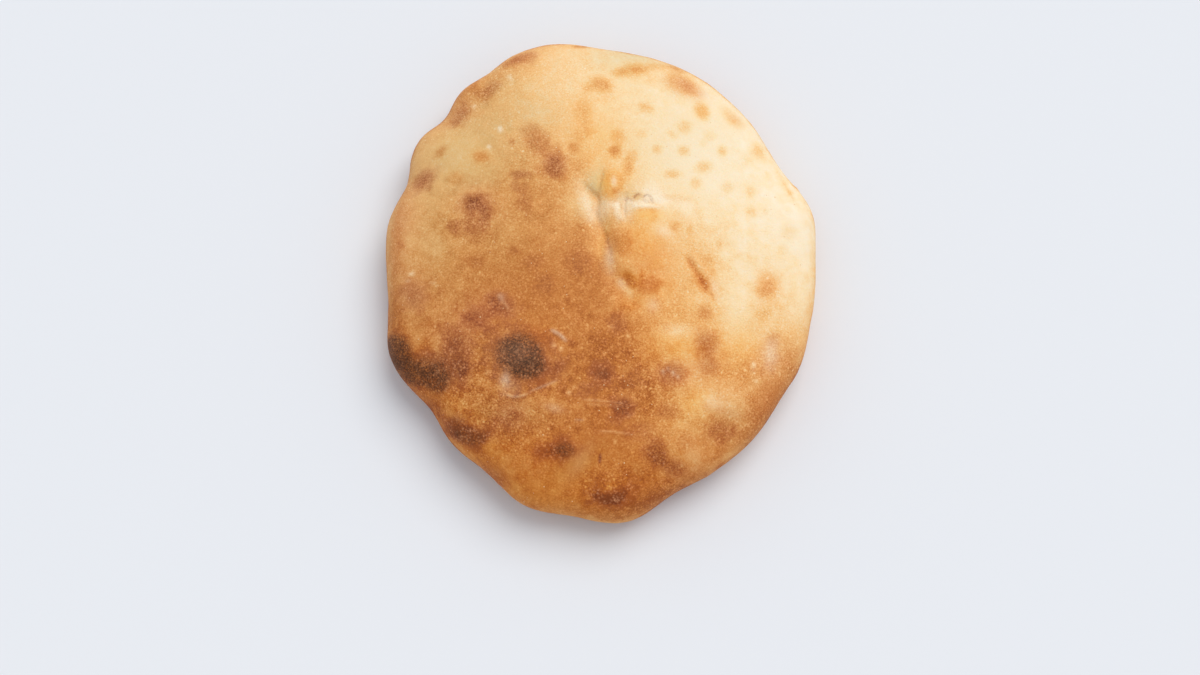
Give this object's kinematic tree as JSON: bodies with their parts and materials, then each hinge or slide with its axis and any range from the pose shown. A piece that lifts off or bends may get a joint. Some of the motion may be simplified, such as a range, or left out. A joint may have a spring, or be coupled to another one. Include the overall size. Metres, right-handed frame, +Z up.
{
  "type": "grilled lepinja",
  "caption": "Round, puffed flatbread with a domed, blistered crust, a folded seam off the middle and a flat underside.",
  "frame": {"origin": "on the flat underside, under the middle of the bread's box", "axes": "+Z up out of the domed top, +Y along the bread's longer way to the edge that is at the top of the picture, +X to the right in the picture"},
  "size_m": [0.1974, 0.2276, 0.0476],
  "materials": {
    "crust": "matte"
  },
  "bodies": {
    "root": {"lepinja": "crust"}
  },
  "joints": []
}
